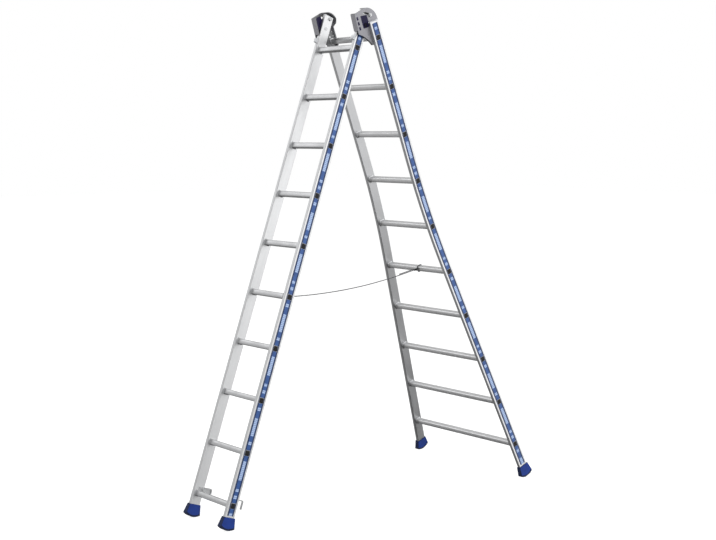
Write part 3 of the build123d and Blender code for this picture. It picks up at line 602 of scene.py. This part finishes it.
# Plastic: grain and patches, how much lighter the patches are, and how far their gloss varies
MOULD_GRAIN_SCALE = 600
MOULD_PATCH_SCALE = 60
MOULD_LIGHTER, MOULD_LIFT = 1.5, 0.004
MOULD_ROUGH_SPREAD = 0.08
MOULD_RELIEF = (0.15, 0.0003)


def moulded(name, colour, rough):
    """Moulded plastic with a fine grain and uneven gloss."""
    paint = Paint(name)
    place = paint.place()
    grain = paint.noise(place, MOULD_GRAIN_SCALE, FINE_DETAIL)
    patch = paint.noise(place, MOULD_PATCH_SCALE)
    lighter = tuple(min(1.0, c * MOULD_LIGHTER + MOULD_LIFT) for c in colour)
    paint.join(paint.mix(paint.uneven(patch, 0, 1), colour, lighter), "Base Color")
    paint.join(paint.uneven(patch, rough - MOULD_ROUGH_SPREAD, rough + MOULD_ROUGH_SPREAD), "Roughness")
    paint.set(specular_ior_level=DULL_SPECULAR)
    paint.bump(grain, *MOULD_RELIEF)
    return paint.material


# Zinc: spangle and brushed grain, how dark the spangle gets, and how far the gloss varies
SPANGLE_SCALE, SPANGLE_DETAIL, SPANGLE_ROUGHNESS = 130, 5.0, 0.6
SPANGLE_DARK = 0.8
BRUSH_SCALE, BRUSH_STRETCH = 1400, 0.06
ZINC_SMOOTHER, ZINC_ROUGHER = 0.08, 0.1
ZINC_RELIEF = (0.1, 0.0003)
ZINC_METALLIC = 0.9


def zinc(paint, colour, rough):
    """Mottled zinc tone and gloss with a fine brushed grain; returns the tone."""
    place = paint.place()
    spangle = paint.noise(place, SPANGLE_SCALE, SPANGLE_DETAIL, SPANGLE_ROUGHNESS)
    brushed = paint.combine(
        paint.dot(place, (1, 0, 0)),
        paint.math("MULTIPLY", paint.dot(place, (0, 1, 0)), BRUSH_STRETCH),
        paint.dot(place, (0, 0, 1)),
    )
    grain = paint.noise(brushed, BRUSH_SCALE, FINE_DETAIL)
    darker = tuple(c * SPANGLE_DARK for c in colour)
    paint.join(paint.uneven(spangle, rough - ZINC_SMOOTHER, rough + ZINC_ROUGHER), "Roughness")
    paint.bump(grain, *ZINC_RELIEF)
    return paint.mix(paint.contrast(spangle), darker, colour)


def plated(name, colour, rough):
    """Zinc-plated steel."""
    paint = Paint(name)
    paint.join(zinc(paint, colour, rough), "Base Color")
    paint.set(metallic=ZINC_METALLIC)
    return paint.material


# Hinge plate: how squarely a face looks outward or forward, from painted shade to its full zinc tone
PLATE_SHOWN_FROM, PLATE_SHOWN_TO = 0.2, 0.7
PLATE_ROUGH = 0.42
PLATE_METALLIC = 0.55


def plate_steel(name):
    """Zinc-plated hinge plate, with painted shade on the faces that look inward or rearward."""
    paint = Paint(name)
    tone = zinc(paint, PLATE_GREY, PLATE_ROUGH)
    normal = paint.normal()
    outward = paint.outward(normal, paint.dot(paint.place(), (1, 0, 0)))
    forward = paint.math("MULTIPLY", paint.dot(normal, BACK["rear"]), -1.0)
    unshaded_share = paint.span(paint.math("MAXIMUM", outward, forward), PLATE_SHOWN_FROM, PLATE_SHOWN_TO, 0, 1)
    # Painted shade on the faces that look inward or rearward
    paint.join(paint.mix(unshaded_share, PLATE_PAINTED_SHADE, tone), "Base Color")
    paint.set(metallic=PLATE_METALLIC)
    return paint.material


# Pivot pin: the distance from the ladder's middle at which its head starts
PIN_HEAD_FROM = 0.164
PIN_ROUGH = 0.36


def pin_steel(name):
    """Pivot pin: blackened head outside, bright set-over end inside."""
    paint = Paint(name)
    tone = zinc(paint, STEEL, PIN_ROUGH)
    across = paint.math("ABSOLUTE", paint.dot(paint.place(), (1, 0, 0)))
    head = paint.math("GREATER_THAN", across, PIN_HEAD_FROM)
    paint.join(paint.mix(head, tone, PIN_BLACK), "Base Color")
    paint.set(metallic=ZINC_METALLIC)
    return paint.material


# Rope: fibres and broader patches, and how much lighter the fibres catch the light
FIBRE_SCALE = 1500
FIBRE_SHARE = 0.6
FIBRE_RELIEF = (0.4, 0.0004)
ROPE_PATCH_SCALE = 18
ROPE_LIGHTER = 2.4
ROPE_ROUGH = 0.8


def rope_fibre(name):
    """Dark synthetic rope, with fibres that catch a little light."""
    paint = Paint(name)
    place = paint.place()
    fibre = paint.noise(place, FIBRE_SCALE, FINE_DETAIL)
    patch = paint.noise(place, ROPE_PATCH_SCALE)
    share = paint.contrast(paint.weigh(fibre, patch, FIBRE_SHARE))
    lighter = tuple(c * ROPE_LIGHTER for c in ROPE_GREY)
    paint.join(paint.mix(share, ROPE_GREY, lighter), "Base Color")
    paint.set(roughness=ROPE_ROUGH)
    paint.bump(fibre, *FIBRE_RELIEF)
    return paint.material


def coat(piece, material):
    piece.data.materials.clear()
    piece.data.materials.append(material)


def coat_node(name, material):
    coat(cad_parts[name], material)


def dress_nodes():
    """Gives every part of the frame its material."""
    plate = plate_steel("hinge_steel")
    steel = plated("fastener_steel", STEEL, rough=0.28)
    hook = plated("hook_steel", STEEL, rough=0.36)
    guide = moulded("guide_plastic", GUIDE_NAVY, rough=0.45)
    black = moulded("black_plastic", BLACK, rough=0.5)
    cap = moulded("cap_plastic", CAP_GREY, rough=0.5)
    bush = moulded("bush_plastic", BUSH_GREY, rough=0.35)
    pin = pin_steel("pin_steel")
    fibre = rope_fibre("rope_fibre")
    for section in SECTIONS:
        metal = extruded(f"{section}_aluminium", section)
        film = label_film(f"{section}_label", section)
        rubber = foot_rubber(f"{section}_rubber", section)
        rungs = rung_metal(f"{section}_rung_aluminium", section)
        for side in SIDES:
            coat_node(f"{section}_stile_{side}", metal)
            coat_node(f"{section}_label_{side}", film)
            coat_node(f"{section}_foot_{side}", rubber)
        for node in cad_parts:
            if node.startswith(f"{section}_rung_") and not node.endswith("plugs"):
                coat_node(node, rungs)
        coat_node(f"{section}_rung_plugs", black)
        coat_node(f"{section}_stile_caps", cap)
        coat_node(f"rope_ferrule_{section}", black)
        coat_node(f"rope_loop_{section}", fibre)
    for side in SIDES:
        coat_node(f"hinge_plate_{side}", plate)
        coat_node(f"guide_block_{side}", guide)
        coat_node(f"pivot_pin_{side}", pin)
        coat_node(f"pivot_bush_{side}", bush)
        coat_node(f"stop_stud_{side}", steel)
        coat_node(f"rung_hook_{side}", hook)
        coat_node(f"stop_cleat_{side}", cap)
    for node in ("stop_nuts", "plate_rivets", "hook_rivets"):
        coat_node(node, steel)
    coat_node("spreader_rope", fibre)
    for piece in [rope, tail] + eyes:
        coat(piece, fibre)


dress_nodes()

# Air: its levels by direction, darker toward the ground and below, brighter at a sheet and a window
GROUND_WAY = Vector((-0.35, -0.25, 0.9)).normalized()
GROUND_DARK = 0.05
GROUND_FROM, GROUND_TO = -0.75, -0.5
BELOW_DARK = 0.1
BELOW_FROM, BELOW_TO = -0.7, -0.35
SIDE_WAY = Vector((0.0, -0.14, 0.06))
SIDE_MIDDLE = 0.51
SHEET_WAY = Vector((0.75, 0.65, -0.05)).normalized()
SHEET_FROM, SHEET_TO = 0.45, 0.9
SHEET_LEVEL = 0.88
WINDOW_WAY = Vector((-0.75, -0.45, 0.5)).normalized()
WINDOW_FROM, WINDOW_TO = 0.92, 0.985
WINDOW_LEVEL = 1.0
WHITE = (1.0, 1.0, 1.0, 1.0)


def make_air():
    """Studio air: dark below, a pale sheet behind on the right, a window in front, white to the camera."""
    world = bpy.data.worlds.new("studio")
    bpy.context.scene.world = world
    world.use_nodes = True
    nodes, links = world.node_tree.nodes, world.node_tree.links
    way = nodes.new("ShaderNodeTexCoord").outputs["Generated"]

    def toward(direction, low, high, to_low, to_high):
        """A level that runs from to_low to to_high as a ray turns toward a direction."""
        facing = nodes.new("ShaderNodeVectorMath")
        facing.operation = "DOT_PRODUCT"
        facing.inputs[1].default_value = direction
        links.new(way, facing.inputs[0])
        level = nodes.new("ShaderNodeMapRange")
        for index, number in enumerate((low, high, to_low, to_high), start=1):
            level.inputs[index].default_value = number
        links.new(facing.outputs["Value"], level.inputs[0])
        return level.outputs["Result"]

    def combine(operation, a, b):
        node = nodes.new("ShaderNodeMath")
        node.operation = operation
        links.new(a, node.inputs[0])
        links.new(b, node.inputs[1])
        return node.outputs[0]

    side = SIDE_WAY.length
    ground = toward(GROUND_WAY, GROUND_FROM, GROUND_TO, GROUND_DARK, 1.0)
    below = toward((0, 0, 1), BELOW_FROM, BELOW_TO, BELOW_DARK, 1.0)
    sides = toward(SIDE_WAY.normalized(), -1.0, 1.0, SIDE_MIDDLE - side, SIDE_MIDDLE + side)
    backdrop = nodes.new("ShaderNodeLightPath").outputs["Is Camera Ray"]
    sheet = toward(SHEET_WAY, SHEET_FROM, SHEET_TO, 0.0, SHEET_LEVEL)
    window = toward(WINDOW_WAY, WINDOW_FROM, WINDOW_TO, 0.0, WINDOW_LEVEL)
    shade = combine("MULTIPLY", ground, below)
    level = combine("MULTIPLY", shade, combine("ADD", combine("ADD", sides, sheet), window))
    level = combine("MAXIMUM", level, backdrop)
    links.new(level, nodes["Background"].inputs["Strength"])
    nodes["Background"].inputs["Color"].default_value = WHITE


# Floor: its tone and glow, half its width, and a small step below the soles
FLOOR_PALE = (0.3, 0.3, 0.3, 1.0)
FLOOR_GLOW = 0.85
FLOOR_ROUGH = 0.9
FLOOR_HALF = 30.0
FLOOR_BELOW = 0.0005


def make_floor():
    """Plain pale floor, which the metal doesn't mirror."""
    half = FLOOR_HALF
    square = ((-half, -half), (half, -half), (half, half), (-half, half))
    corners = [(x, y, -FLOOR_BELOW) for x, y in square]
    floor = mesh_object("floor", corners, [(0, 1, 2, 3)], smooth=False)
    floor.visible_glossy = False
    floor.visible_diffuse = False
    paint = Paint("floor_pale")
    paint.set(base_color=FLOOR_PALE, roughness=FLOOR_ROUGH, specular_ior_level=0.0)
    paint.set(emission_color=WHITE, emission_strength=FLOOR_GLOW)
    coat(floor, paint.material)


# Lights: places and powers in watts, all square and aimed at the middle of the ladder
LIGHTS = {
    "key": ((5.0, -3.0, 5.0), 260),
    "fill": ((-5.0, -3.0, 4.0), 200),
    "back": ((0.0, 5.5, 4.5), 160),
}
LIGHT_SIZE = 4.0
LIGHT_AIM = Vector((0, 0, 1.2))


def make_light(name, place, power):
    """Large soft area light, which lights paint and rubber but isn't mirrored in the metal."""
    data = bpy.data.lights.new(name, "AREA")
    data.shape = "RECTANGLE"
    data.size = LIGHT_SIZE
    data.size_y = LIGHT_SIZE
    data.energy = power
    light = bpy.data.objects.new(name, data)
    light.location = place
    light.visible_glossy = False
    light.rotation_mode = "QUATERNION"
    light.rotation_quaternion = (LIGHT_AIM - Vector(place)).to_track_quat("-Z", "Y")
    bpy.context.collection.objects.link(light)


make_air()
make_floor()
for light, (spot, watts) in LIGHTS.items():
    make_light(light, spot, watts)
bpy.context.scene.view_settings.view_transform = "Standard"
